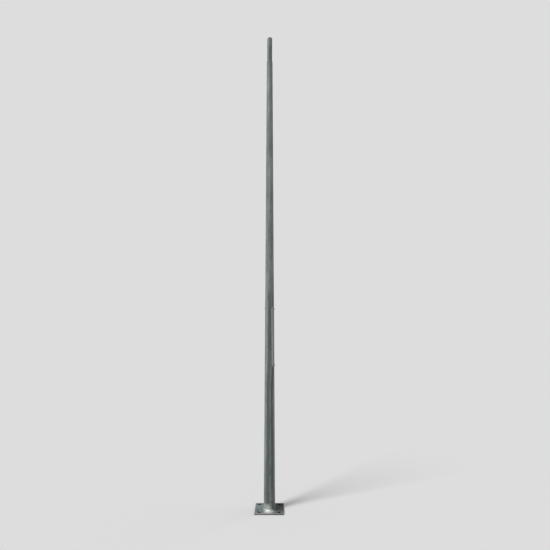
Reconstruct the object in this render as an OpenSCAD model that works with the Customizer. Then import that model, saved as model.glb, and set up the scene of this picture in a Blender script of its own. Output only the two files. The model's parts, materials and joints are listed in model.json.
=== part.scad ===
// Conical steel pole, hot-dip galvanised: a tapered round shaft welded to a square
// slotted base plate, with a hinged service door and a plain spigot at the top.
// Origin: centre of the base plate's underside. +Z up, the door faces +X.

/* [Shaft] */
// Length of the tapered tube above the base plate
shaft_len = 5085; // [4600:10:6200]
// Outside diameter of the shaft at the base plate
shaft_foot_d = 120; // [112:1:150]
// Outside diameter of the shaft at its top end
shaft_top_d = 70; // [68:0.5:90]
// Wall thickness of the shaft
shaft_wall = 4; // [3:0.5:5]

/* [Base plate] */
// Side of the square base plate
plate_side = 300; // [280:5:400]
// Thickness of the base plate
plate_t = 10; // [8:1:20]
// Distance between the centres of neighbouring slots
slot_spacing = 210; // [200:5:220]
// Width of each anchor slot
slot_w = 22; // [18:1:26]
// Length of each anchor slot, end to end
slot_len = 45; // [36:1:54]
// Diameter of the cable hole in the middle of the plate
cable_hole_d = 80; // [50:1:90]
// Leg of the fillet weld round the foot of the shaft
foot_weld_leg = 10; // [6:1:14]

/* [Spigot] */
// Outside diameter of the spigot
spigot_d = 60; // [48:0.5:60]
// Wall thickness of the spigot
spigot_wall = 3; // [2.5:0.5:4]
// Length of the spigot above the shaft
spigot_len = 310; // [240:10:360]
// Length of the spigot inside the shaft
spigot_insert = 150; // [100:10:200]
// Air between the spigot's root and the shaft's bore, at the shaft's top
spigot_air = 0.25; // [0.2:0.05:0.8]
// Height of the weld on the spigot
spigot_weld_h = 5; // [3:0.5:8]
// Strip of the shaft's end face left bare outside the weld
spigot_weld_land = 0.6; // [0.2:0.1:1.5]

/* [Service door] */
// Height of the bottom of the clear opening above the ground
door_z = 1475; // [1225:5:1770]
// Height of the clear opening
door_h = 640; // [500:10:780]
// Width of the clear opening, measured straight across
door_w = 80; // [68:1:88]
// Corner radius of the clear opening
door_corner_r = 18; // [10:1:30]
// Thickness of the door
door_t = 3; // [2:0.5:4]
// Gap round the door inside its frame
door_gap = 2; // [1.5:0.5:3]
// How far the door's face stands out of the shaft's surface
door_out = 0.5; // [0.5:0.1:1]
// Width of the frame's rim
frame_w = 5; // [4:0.5:6]
// How far the frame stands out of the shaft's surface
frame_out = 2; // [1.5:0.5:3]
// Depth of the frame's top and bottom walls inside the shaft's surface
frame_depth = 14; // [10:1:18]
// Depth of the frame's side walls, measured straight in from the rim
frame_side_depth = 12; // [8:1:16]

/* [Hinges] */
// Diameter of the hinge pins
pin_d = 5; // [4:0.5:6]
// Outside diameter of the hinge knuckles
knuckle_d = 11; // [10:0.5:13]
// Length of one hinge
hinge_len = 80; // [60:5:100]
// Distance from the ends of the opening to the middle of each hinge
hinge_inset = 110; // [90:5:160]
// Thickness of the hinge leaves
leaf_t = 3; // [2:0.5:4]
// Air between the knuckles and the shaft's surface
knuckle_air = 1.5; // [1:0.5:3]
// Distance from the frame's edge to the hinge axis, measured straight across
hinge_set_off = 4.8; // [4.5:0.1:6]
// Length of the door's hinge leaf along its curve, in degrees
door_leaf_deg = 30; // [24:1:36]
// Length of the fixed hinge leaf along its curve, in degrees
fixed_leaf_deg = 16; // [12:1:24]

/* [Door screws] */
// Diameter of the door screws
screw_d = 8; // [6:1:8]
// Diameter of the screw heads
screw_head_d = 18; // [14:1:20]
// Height of the screw heads
screw_head_h = 5; // [3:0.5:6]
// Distance from the ends of the opening to each screw
screw_inset = 13; // [12:1:16]
// Width of the cross bars behind the screws
bar_w = 32; // [24:1:36]
// Height of the cross bars
bar_h = 24; // [20:1:30]
// Thickness of the cross bars
bar_t = 4; // [3:0.5:6]
// Diameter of the hole in each cross bar
bar_hole_d = 10.4; // [9.4:0.2:11]
// How far each screw's tip goes into its cross bar
screw_reach = 2.5; // [1.5:0.5:3]

/* [Inside the shaft] */
// Width of the equipment rail
rail_w = 40; // [30:1:44]
// Thickness of the equipment rail
rail_t = 4; // [3:0.5:6]
// Length of the equipment rail
rail_len = 560; // [420:10:600]
// Distance from the shaft's inner wall to the rail
rail_stand_off = 14; // [10:1:18]
// Distance from the top of the opening down to the rail's bolt
rail_bolt_drop = 6; // [0:1:20]
// Diameter of the rail's bolt
rail_bolt_d = 8; // [6:1:10]
// Number of mounting holes in the rail
rail_holes = 6; // [3:1:8]
// Diameter of the rail's mounting holes
rail_hole_d = 7; // [5:0.5:9]
// Diameter of the earth stud
earth_d = 8; // [6:1:10]
// Length of the earth stud
earth_len = 30; // [24:1:34]
// Height of the earth stud above the bottom of the opening
earth_up = 30; // [24:1:40]

/* [Hidden] */
$fn = 96;

eps = 0.01;
zinc = [0.55, 0.57, 0.55];
dark_zinc = [0.45, 0.47, 0.46];
bright_zinc = [0.70, 0.72, 0.71];

// heights along the pole
shaft_top_z = plate_t + shaft_len;
door_top_z = door_z + door_h;
door_mid_z = door_z + door_h / 2;
band_margin = 30;
band_low_z = door_z - frame_w - band_margin;
band_high_z = door_top_z + frame_w + band_margin;

// taper of the shaft
taper = (shaft_foot_d - shaft_top_d) / 2 / shaft_len;
taper_deg = atan(taper);
function shaft_r(z) = shaft_foot_d / 2 - taper * (z - plate_t);

// lengthwise weld, at the back of the shaft
seam_deg = 135;
seam_half_deg = 3;
seam_height = 0.8;

// the spigot's root slides into the shaft's top end and stands out as far as the weld
spigot_root_r = shaft_top_d / 2 - shaft_wall - spigot_air;
spigot_weld_root = 4;

// frame and door
frame_half_w = door_w / 2 + frame_w;
prism_reach = shaft_foot_d;
frame_edge_x = sqrt(pow(shaft_r(door_top_z), 2) - pow(frame_half_w, 2));
frame_back_x = frame_edge_x - frame_side_depth;
leaf_low = door_out;

// hinge axis: parallel to the shaft's surface, beyond the frame's rear edge
knuckle_out = knuckle_air + knuckle_d / 2;
hinge_deg = asin((frame_half_w + hinge_set_off) / (shaft_r(door_mid_z) + knuckle_out));
hinge_low_z = door_z + hinge_inset;
hinge_high_z = door_top_z - hinge_inset;
pin_clearance = 0.05;
knuckle_gap = 0.5;
door_knuckle_len = hinge_len * 0.44;
fixed_knuckle_len = (hinge_len - door_knuckle_len) / 2 - knuckle_gap;
leaf_gap_deg = 8;
rim_notch_margin = 3;
pin_head_d = pin_d + 3;
pin_head_h = 2;

// cross bars and screws
seat_gap = 0.5;
shank_clearance = 0.2;
bar_low_top_z = door_z + bar_h;
bar_high_top_z = door_top_z;
screw_low_z = door_z + screw_inset;
screw_high_z = door_top_z - screw_inset;
recess_d = 9;
recess_depth = 3;
function bar_front_x(top_z) =
    sqrt(pow(shaft_r(top_z) + door_out - door_t, 2) - pow(bar_w / 2, 2)) - seat_gap;

// equipment rail
rail_bolt_z = door_top_z - rail_bolt_drop;
rail_top_z = rail_bolt_z + 20;
rail_low_z = rail_top_z - rail_len;
rail_back_x = -(shaft_r(rail_top_z) - shaft_wall - rail_stand_off);
rail_foot_h = 30;
rail_foot_w = 24;
rail_hole_pitch = 70;
rail_first_hole_z = rail_low_z + rail_foot_h + 40;
spacer_d = 20;
bolt_head_d = 18;
bolt_head_h = 5;
nut_flats = 13;
nut_h = 6.5;
nut_d = nut_flats / cos(30);
bolt_tip = 4;

// earth stud
earth_z = door_z + earth_up;
earth_nut_gap = 12;

// solid frustum that follows the shaft, grown outwards by g
module taper_solid(low, high, g) {
    translate([0, 0, low])
        cylinder(h = high - low, r1 = shaft_r(low) + g, r2 = shaft_r(high) + g);
}

// tube that follows the shaft, from g_in to g_out outside its surface
module taper_shell(low, high, g_in, g_out) {
    difference() {
        taper_solid(low, high, g_out);
        taper_solid(low - 1, high + 1, g_in);
    }
}

// piece of such a tube between two bearings
module shell_sector(low, high, g_in, g_out, deg_a, deg_b) {
    reach = shaft_foot_d;
    intersection() {
        taper_shell(low, high, g_in, g_out);
        translate([0, 0, low - 1])
            linear_extrude(height = high - low + 2)
                polygon([
                    [0, 0],
                    [reach * cos(deg_a), reach * sin(deg_a)],
                    [reach * cos(deg_b), reach * sin(deg_b)]
                ]);
    }
}

module rounded_outline(w, h, r) {
    square([w - 2 * r, h], center = true);
    square([w, h - 2 * r], center = true);
    for (sx = [-1, 1])
        for (sy = [-1, 1])
            translate([sx * (w / 2 - r), sy * (h / 2 - r)])
                circle(r = r);
}

// straight prism through the +X side of the shaft, the opening's outline grown by g
module door_prism(g) {
    translate([0, 0, door_mid_z])
        rotate([90, 0, 90])
            linear_extrude(height = prism_reach)
                rounded_outline(door_w + 2 * g, door_h + 2 * g, door_corner_r + g);
}

// places a child on the hinge axis, its own Z along the axis
module at_hinge(z) {
    rotate([0, 0, hinge_deg])
        translate([shaft_r(z) + knuckle_out, 0, z])
            rotate([0, -taper_deg, 0])
                children();
}

// places a child at a point of the X axis, its own Z along +X
module along_x(x, z) {
    translate([x, 0, z])
        rotate([0, 90, 0])
            children();
}

module slot_outline() {
    straight = slot_len - slot_w;
    square([straight, slot_w], center = true);
    for (s = [-1, 1])
        translate([s * straight / 2, 0])
            circle(d = slot_w);
}

module base_plate() {
    color(dark_zinc)
        linear_extrude(height = plate_t)
            difference() {
                square(plate_side, center = true);
                circle(d = cable_hole_d);
                for (i = [0:3])
                    rotate([0, 0, 90 * i])
                        translate([slot_spacing / 2, slot_spacing / 2])
                            rotate([0, 0, -45])
                                slot_outline();
            }
}

module foot_weld() {
    weld_top = plate_t + foot_weld_leg;
    color(bright_zinc)
        rotate_extrude()
            polygon([
                [shaft_r(plate_t), plate_t],
                [shaft_r(plate_t) + foot_weld_leg, plate_t],
                [shaft_r(weld_top), weld_top]
            ]);
}

module shaft_lower() {
    color(zinc)
        taper_shell(plate_t, band_low_z, -shaft_wall, 0);
}

module shaft_door_band() {
    color(zinc)
        difference() {
            taper_shell(band_low_z, band_high_z, -shaft_wall, 0);
            door_prism(frame_w);
            along_x(-shaft_foot_d, rail_bolt_z)
                cylinder(h = shaft_foot_d, d = rail_bolt_d + 2 * shank_clearance);
        }
}

module shaft_upper() {
    color(zinc)
        taper_shell(band_high_z, shaft_top_z, -shaft_wall, 0);
}

// bead of the lengthwise weld that closes the rolled tube
module seam_weld() {
    color(zinc)
        shell_sector(
            plate_t + foot_weld_leg, shaft_top_z - 2,
            0, seam_height,
            seam_deg - seam_half_deg, seam_deg + seam_half_deg
        );
}

module spigot() {
    length = spigot_insert + spigot_len;
    color(zinc)
        translate([0, 0, shaft_top_z - spigot_insert])
            difference() {
                union() {
                    cylinder(h = length, d = spigot_d);
                    cylinder(h = spigot_insert + spigot_weld_h, r = spigot_root_r);
                }
                translate([0, 0, -1])
                    cylinder(h = length + 2, d = spigot_d - 2 * spigot_wall);
            }
}

// weld between the shaft's end face and the spigot's root
module spigot_weld() {
    bore_r = shaft_r(shaft_top_z) - shaft_wall;
    color(bright_zinc)
        rotate_extrude()
            polygon([
                [spigot_root_r, shaft_top_z - spigot_weld_root],
                [bore_r, shaft_top_z - spigot_weld_root],
                [bore_r, shaft_top_z],
                [shaft_top_d / 2 - spigot_weld_land, shaft_top_z],
                [spigot_root_r, shaft_top_z + spigot_weld_h]
            ]);
}

// welded rim round the opening, notched where the hinges cross it
module door_frame() {
    low = door_z - frame_w - 1;
    high = door_top_z + frame_w + 1;
    notch_len = hinge_len + 2 * rim_notch_margin;
    color(bright_zinc)
        difference() {
            intersection() {
                taper_shell(low, high, -frame_depth, frame_out);
                door_prism(frame_w);
                translate([frame_back_x, -frame_half_w - 1, low])
                    cube([prism_reach, 2 * frame_half_w + 2, high - low]);
            }
            door_prism(0);
            for (z = [hinge_low_z, hinge_high_z])
                shell_sector(z - notch_len / 2, z + notch_len / 2, 0, frame_out + 2, 20, 80);
        }
}

module cross_bar(top_z, hole_z) {
    front = bar_front_x(top_z);
    color(zinc)
        difference() {
            translate([front - bar_t, -bar_w / 2, top_z - bar_h])
                cube([bar_t, bar_w, bar_h]);
            along_x(front - bar_t - 1, hole_z)
                cylinder(h = bar_t + 2, d = bar_hole_d);
        }
}

module cross_bar_lower() {
    cross_bar(bar_low_top_z, screw_low_z);
}

module cross_bar_upper() {
    cross_bar(bar_high_top_z, screw_high_z);
}

// leaf welded to the shaft, with the two outer knuckles
module fixed_leaf(z) {
    low = z - hinge_len / 2;
    high = z + hinge_len / 2;
    leaf_b = hinge_deg + leaf_gap_deg + fixed_leaf_deg;
    color(zinc)
        difference() {
            union() {
                difference() {
                    shell_sector(low, high, 0, leaf_t, hinge_deg, leaf_b);
                    shell_sector(
                        low + fixed_knuckle_len, high - fixed_knuckle_len,
                        -1, leaf_t + 1,
                        hinge_deg - 1, hinge_deg + leaf_gap_deg
                    );
                }
                for (knuckle_z = [low, high - fixed_knuckle_len])
                    at_hinge(knuckle_z)
                        cylinder(h = fixed_knuckle_len, d = knuckle_d);
            }
            at_hinge(z - hinge_len)
                cylinder(h = 2 * hinge_len, d = pin_d + 2 * pin_clearance);
        }
}

module fixed_leaf_lower() {
    fixed_leaf(hinge_low_z);
}

module fixed_leaf_upper() {
    fixed_leaf(hinge_high_z);
}

module hinge_pin(z) {
    shank = hinge_len + 1 + knuckle_gap;
    color(bright_zinc)
        at_hinge(z - hinge_len / 2 - 1) {
            cylinder(h = shank + eps, d = pin_d);
            translate([0, 0, shank])
                cylinder(h = pin_head_h, d = pin_head_d);
        }
}

module hinge_pin_lower() {
    hinge_pin(hinge_low_z);
}

module hinge_pin_upper() {
    hinge_pin(hinge_high_z);
}

// curved plate that fills the frame
module door_panel() {
    low = door_z - 1;
    high = door_top_z + 1;
    color(dark_zinc)
        difference() {
            intersection() {
                taper_shell(low, high, door_out - door_t, door_out);
                door_prism(-door_gap);
            }
            for (z = [screw_low_z, screw_high_z])
                along_x(0, z)
                    cylinder(h = prism_reach, d = screw_d + 2 * shank_clearance);
        }
}

// leaf welded on the door's face, with the middle knuckle
module door_leaf(z) {
    low = z - door_knuckle_len / 2;
    color(zinc)
        difference() {
            union() {
                shell_sector(
                    low, low + door_knuckle_len,
                    leaf_low, leaf_low + leaf_t,
                    hinge_deg - door_leaf_deg, hinge_deg
                );
                at_hinge(low)
                    cylinder(h = door_knuckle_len, d = knuckle_d);
            }
            at_hinge(z - hinge_len)
                cylinder(h = 2 * hinge_len, d = pin_d + 2 * pin_clearance);
        }
}

module door_leaf_lower() {
    door_leaf(hinge_low_z);
}

module door_leaf_upper() {
    door_leaf(hinge_high_z);
}

// captive screw with a three-sided key recess; its tip enters the cross bar
module door_screw(z, bar_top_z) {
    seat_x = shaft_r(z) + door_out + 0.05;
    tip_x = bar_front_x(bar_top_z) - screw_reach;
    color(bright_zinc)
        difference() {
            union() {
                along_x(tip_x, z)
                    cylinder(h = seat_x - tip_x + eps, d = screw_d);
                along_x(seat_x, z)
                    cylinder(h = screw_head_h, d = screw_head_d);
            }
            along_x(seat_x + screw_head_h - recess_depth, z)
                cylinder(h = recess_depth + 1, d = recess_d, $fn = 3);
        }
}

module door_screw_lower() {
    door_screw(screw_low_z, bar_low_top_z);
}

module door_screw_upper() {
    door_screw(screw_high_z, bar_high_top_z);
}

module equipment_rail() {
    color(bright_zinc)
        difference() {
            translate([rail_back_x, -rail_w / 2, rail_low_z])
                cube([rail_t, rail_w, rail_len]);
            along_x(rail_back_x - 1, rail_bolt_z)
                cylinder(h = rail_t + 2, d = rail_bolt_d + 2 * shank_clearance);
            for (i = [0:rail_holes - 1])
                along_x(rail_back_x - 1, rail_first_hole_z + i * rail_hole_pitch)
                    cylinder(h = rail_t + 2, d = rail_hole_d);
        }
}

// block between the shaft's wall and the rail's lower end
module rail_foot() {
    color(zinc)
        intersection() {
            taper_solid(rail_low_z - 1, rail_low_z + rail_foot_h + 1, -shaft_wall);
            translate([-shaft_foot_d, -rail_foot_w / 2, rail_low_z])
                cube([shaft_foot_d + rail_back_x, rail_foot_w, rail_foot_h]);
        }
}

// tube between the shaft's wall and the rail, round the bolt
module rail_spacer() {
    color(zinc)
        difference() {
            intersection() {
                taper_solid(rail_bolt_z - spacer_d, rail_bolt_z + spacer_d, -shaft_wall);
                along_x(-shaft_foot_d, rail_bolt_z)
                    cylinder(h = shaft_foot_d + rail_back_x, d = spacer_d);
            }
            along_x(-shaft_foot_d, rail_bolt_z)
                cylinder(h = shaft_foot_d, d = rail_bolt_d + 2 * shank_clearance);
        }
}

// round-headed bolt through the shaft's back wall
module rail_bolt() {
    head_x = -shaft_r(rail_bolt_z) - 0.05;
    tip_x = rail_back_x + rail_t + nut_h + bolt_tip;
    dome_r = (pow(bolt_head_d / 2, 2) + pow(bolt_head_h, 2)) / (2 * bolt_head_h);
    color(bright_zinc) {
        along_x(head_x - eps, rail_bolt_z)
            cylinder(h = tip_x - head_x + eps, d = rail_bolt_d);
        intersection() {
            along_x(head_x - bolt_head_h, rail_bolt_z)
                cylinder(h = bolt_head_h, d = bolt_head_d);
            translate([head_x - bolt_head_h + dome_r, 0, rail_bolt_z])
                sphere(r = dome_r);
        }
    }
}

// hexagon nut, its bore a little larger than the thread
module hex_nut(x, z, bore_d) {
    along_x(x, z)
        difference() {
            cylinder(h = nut_h, d = nut_d, $fn = 6);
            translate([0, 0, -1])
                cylinder(h = nut_h + 2, d = bore_d + 2 * pin_clearance);
        }
}

module rail_nut() {
    color(bright_zinc)
        hex_nut(rail_back_x + rail_t + 0.05, rail_bolt_z, rail_bolt_d);
}

module earth_stud() {
    wall_x = -(shaft_r(earth_z) - shaft_wall);
    color(bright_zinc)
        difference() {
            along_x(wall_x - 1, earth_z)
                cylinder(h = earth_len + 1, d = earth_d);
            taper_shell(earth_z - earth_d, earth_z + earth_d, -shaft_wall, 10);
        }
}

module earth_nut() {
    wall_x = -(shaft_r(earth_z) - shaft_wall);
    color(bright_zinc)
        hex_nut(wall_x + earth_nut_gap, earth_z, earth_d);
}

base_plate();
foot_weld();
shaft_lower();
shaft_door_band();
shaft_upper();
seam_weld();
spigot();
spigot_weld();
door_frame();
cross_bar_lower();
cross_bar_upper();
fixed_leaf_lower();
fixed_leaf_upper();
hinge_pin_lower();
hinge_pin_upper();
door_panel();
door_leaf_lower();
door_leaf_upper();
door_screw_lower();
door_screw_upper();
equipment_rail();
rail_foot();
rail_spacer();
rail_bolt();
rail_nut();
earth_stud();
earth_nut();
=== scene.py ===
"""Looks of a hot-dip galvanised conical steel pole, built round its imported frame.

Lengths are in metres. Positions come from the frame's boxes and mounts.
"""
from __future__ import annotations

import json
import logging
import math
from dataclasses import dataclass
from enum import Enum
from functools import partial
from typing import Any, Callable, Iterable, Mapping, Optional, Sequence, Union

import bmesh
import bpy
from mathutils import Matrix, Vector


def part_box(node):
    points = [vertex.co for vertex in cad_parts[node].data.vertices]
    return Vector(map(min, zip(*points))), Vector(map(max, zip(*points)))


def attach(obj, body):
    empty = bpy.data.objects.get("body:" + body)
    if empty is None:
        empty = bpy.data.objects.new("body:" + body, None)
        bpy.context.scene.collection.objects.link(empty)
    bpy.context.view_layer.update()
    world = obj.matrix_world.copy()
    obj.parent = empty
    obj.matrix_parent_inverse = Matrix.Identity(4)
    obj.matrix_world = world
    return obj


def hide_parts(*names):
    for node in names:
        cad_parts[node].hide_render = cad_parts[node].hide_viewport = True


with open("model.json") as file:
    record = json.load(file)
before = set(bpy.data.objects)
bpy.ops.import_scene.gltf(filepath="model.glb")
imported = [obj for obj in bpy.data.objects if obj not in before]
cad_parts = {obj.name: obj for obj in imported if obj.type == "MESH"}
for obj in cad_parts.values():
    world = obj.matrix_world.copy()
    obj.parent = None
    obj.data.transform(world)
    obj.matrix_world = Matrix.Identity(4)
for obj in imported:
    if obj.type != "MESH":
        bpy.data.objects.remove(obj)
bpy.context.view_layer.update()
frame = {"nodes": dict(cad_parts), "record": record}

LOG = logging.getLogger("conical_pole")
MM = 0.001
TAU = 2 * math.pi
Triple = tuple[float, float, float]
Mesh = bpy.types.Mesh


class Body(Enum):
    """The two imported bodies."""

    POLE = "pole"
    DOOR = "door"


class Surface(Enum):
    """The record's material slots."""

    SHAFT = "shaft_zinc"
    PLATE = "plate_zinc"
    WELD = "weld_zinc"
    DOOR = "door_zinc"
    FRAME = "frame_zinc"
    HINGE = "hinge_zinc"
    RAIL = "rail_zinc"
    FIXING = "fixings"


# ---- node trees


class Wire:
    """An output socket that takes part in Python arithmetic, one Math node an operator."""

    def __init__(self, sheet: "NodeSheet", socket: bpy.types.NodeSocket) -> None:
        """Args:
            sheet: the tree that the socket belongs to.
            socket: the output socket to wrap.
        """
        self.sheet = sheet
        self.socket = socket

    def __add__(self, other: "Operand") -> "Wire":
        """Sum."""
        return self.sheet.math("ADD", self, other)

    __radd__ = __add__

    def __sub__(self, other: "Operand") -> "Wire":
        """Difference."""
        return self.sheet.math("SUBTRACT", self, other)

    def __rsub__(self, other: "Operand") -> "Wire":
        """Difference, with the wire on the right."""
        return self.sheet.math("SUBTRACT", other, self)

    def __mul__(self, other: "Operand") -> "Wire":
        """Product."""
        return self.sheet.math("MULTIPLY", self, other)

    __rmul__ = __mul__

    def __truediv__(self, other: "Operand") -> "Wire":
        """Quotient."""
        return self.sheet.math("DIVIDE", self, other)

    def __rtruediv__(self, other: "Operand") -> "Wire":
        """Quotient, with the wire on the right."""
        return self.sheet.math("DIVIDE", other, self)

    def __pow__(self, other: "Operand") -> "Wire":
        """Power."""
        return self.sheet.math("POWER", self, other)

    def __gt__(self, other: "Operand") -> "Wire":
        """One where the wire is greater, or else nought."""
        return self.sheet.math("GREATER_THAN", self, other)

    def __lt__(self, other: "Operand") -> "Wire":
        """One where the wire is less, or else nought."""
        return self.sheet.math("LESS_THAN", self, other)

    def clamp(self, low: float = 0.0, high: float = 1.0) -> "Wire":
        """Value held between two limits."""
        return self.sheet.math("MAXIMUM", self.sheet.math("MINIMUM", self, high), low)

    def ramp(self, start: float, end: float) -> "Wire":
        """Value that rises smoothly from 0 at start to 1 at end."""
        straight = ((self - start) / (end - start)).clamp()
        return straight * straight * (3.0 - 2.0 * straight)


Operand = Union[Wire, float, int]


class NodeSheet:
    """A shader or geometry node tree that is written from Python."""

    def __init__(self, tree: bpy.types.NodeTree) -> None:
        """Args:
            tree: the tree to write in.
        """
        self.tree = tree

    def add(
        self,
        kind: str,
        settings: Optional[Mapping[str, Any]] = None,
        inputs: Optional[Mapping[Union[str, int], Any]] = None,
        output: Union[str, int] = 0,
    ) -> Wire:
        """Adds one node.

        Args:
            kind: the node's type.
            settings: properties that are set before its sockets.
            inputs: values, wires or lists of wires, by socket name or number.
            output: the output that the result wraps.

        Returns:
            The chosen output.
        """
        node = self.tree.nodes.new(kind)
        for key, value in (settings or {}).items():
            setattr(node, key, value)
        for key, value in (inputs or {}).items():
            socket = node.inputs[key]
            for item in value if isinstance(value, list) else [value]:
                if isinstance(item, Wire):
                    self.tree.links.new(item.socket, socket)
                else:
                    socket.default_value = item
        return Wire(self, node.outputs[output])

    def math(self, operation: str, *values: Operand) -> Wire:
        """Adds a Math node of that operation on the values given."""
        return self.add("ShaderNodeMath", {"operation": operation}, dict(enumerate(values)))

    def vector(self, x: Operand, y: Operand, z: Operand) -> Wire:
        """Joins three values into a vector."""
        return self.add("ShaderNodeCombineXYZ", inputs={"X": x, "Y": y, "Z": z})

    def parts(self, vector: Wire) -> tuple[Wire, Wire, Wire]:
        """Splits a vector into its three values."""
        x = self.add("ShaderNodeSeparateXYZ", inputs={"Vector": vector})
        outputs = x.socket.node.outputs
        return x, Wire(self, outputs["Y"]), Wire(self, outputs["Z"])

    def noise(
        self, vector: Wire, scale: float, detail: float = 2.0, roughness: float = 0.5
    ) -> Wire:
        """Noise about 0.5.

        Args:
            vector: where it is read.
            scale: features in a metre.
            detail: octaves.
            roughness: share of each finer octave.

        Returns:
            The noise value.
        """
        inputs = {"Vector": vector, "Scale": scale, "Detail": detail, "Roughness": roughness}
        return self.add("ShaderNodeTexNoise", inputs=inputs, output="Fac")

    def blend(self, share: Operand, first: "Paint", second: "Paint", mode: str = "MIX") -> Wire:
        """Mixes two colours.

        Args:
            share: part of the second colour.
            first: a wire or an RGB triple.
            second: a wire or an RGB triple.
            mode: the blend type.

        Returns:
            The mixed colour.
        """
        settings = {"data_type": "RGBA", "blend_type": mode}
        ends = [c if isinstance(c, Wire) else (*c, 1.0) for c in (first, second)]
        return self.add("ShaderNodeMix", settings, {0: share, 6: ends[0], 7: ends[1]}, 2)


Paint = Union[Wire, Sequence[float]]


# ---- the shaft's cone


@dataclass(frozen=True)
class Cone:
    """The shaft's outer surface, whose radius falls evenly with height."""

    foot_z: float
    foot_r: float
    taper: float
    top_z: float

    @classmethod
    def from_frame(cls) -> "Cone":
        """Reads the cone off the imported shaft."""
        low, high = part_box("shaft_lower")
        upper_low, upper_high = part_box("shaft_upper")
        foot_r = (high.y - low.y) / 2
        taper = (foot_r - (upper_high.y - upper_low.y) / 2) / (upper_low.z - low.z)
        return cls(low.z, foot_r, taper, upper_high.z)

    def radius(self, z: float) -> float:
        """Radius at a height."""
        return self.foot_r - self.taper * (z - self.foot_z)

    def around(self, angle: float, z: float, out: float = 0.0) -> Vector:
        """Point at a bearing and a height, a distance outside the surface."""
        radius = self.radius(z) + out
        return Vector((radius * math.cos(angle), radius * math.sin(angle), z))

    def over(self, y: float, z: float, out: float = 0.0) -> Vector:
        """Point of the +X side at a Y and a height, a distance outside the surface."""
        radius = self.radius(z) + out
        return Vector((math.sqrt(max(radius * radius - y * y, 0.0)), y, z))


CONE = Cone.from_frame()


# ---- finishes

BAND_SHIFT = (1.25, 1.6)
BAND_FADE = (1.95, 2.4)
# heights over which the top of the shaft darkens: painted shade
SHADED_TOP = (3.9, 4.7)
# colour of the painted highlight in front of the foot
PAINTED_HIGHLIGHT_ZINC = (0.86, 0.88, 0.86)
# colour of the painted shadow of the shaft on the plate
PAINTED_SHADOW_ZINC = (0.017, 0.02, 0.022)
SLOT_SHADE = (0.012, 0.012, 0.011)
GRIME = (0.075, 0.068, 0.055)


@dataclass(frozen=True)
class DarkBand:
    """Darker band that runs up a round surface at one bearing: painted shade and painted reflection."""

    bearing: float
    width: float
    depth: float

    def strength(self, sheet: NodeSheet, bearing: Wire, wander: Wire) -> Wire:
        """How strong the band is.

        Args:
            sheet: the material's tree.
            bearing: bearing of the point, in radians.
            wander: how far the band has strayed sideways, in radians.

        Returns:
            Nought outside the band, up to its depth on its middle line.
        """
        off = sheet.math("COSINE", bearing - wander - math.radians(self.bearing))
        edge = math.cos(math.radians(self.width))
        return off.ramp(edge, 1.0 - 0.35 * (1.0 - edge)) * self.depth


@dataclass(frozen=True)
class HighlightPatch:
    """Painted highlight near the foot, with a steeper left side."""

    middle: Triple
    reach: Triple
    leftwards: float = 1.0
    amount: float = 1.0

    def strength(self, sheet: NodeSheet, place: Wire, ragged: Wire) -> Wire:
        """How strong the painted highlight is.

        Args:
            sheet: the material's tree.
            place: the object position.
            ragged: noise about nought that breaks up the outline.

        Returns:
            Its amount on the patch's middle, nought beyond its reach.
        """
        off = sheet.add("ShaderNodeVectorMath", {"operation": "SUBTRACT"}, {0: place, 1: self.middle})
        off = sheet.add("ShaderNodeVectorMath", {"operation": "DIVIDE"}, {0: off, 1: self.reach})
        x, y, z = sheet.parts(off)
        sideways = sheet.math("MAXIMUM", x, x * -self.leftwards)
        off = sheet.vector(sideways, y, z)
        away = sheet.add("ShaderNodeVectorMath", {"operation": "LENGTH"}, {0: off}, "Value")
        return (1.0 - (away + ragged * 0.5).ramp(0.05, 1.0)) * self.amount


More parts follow.
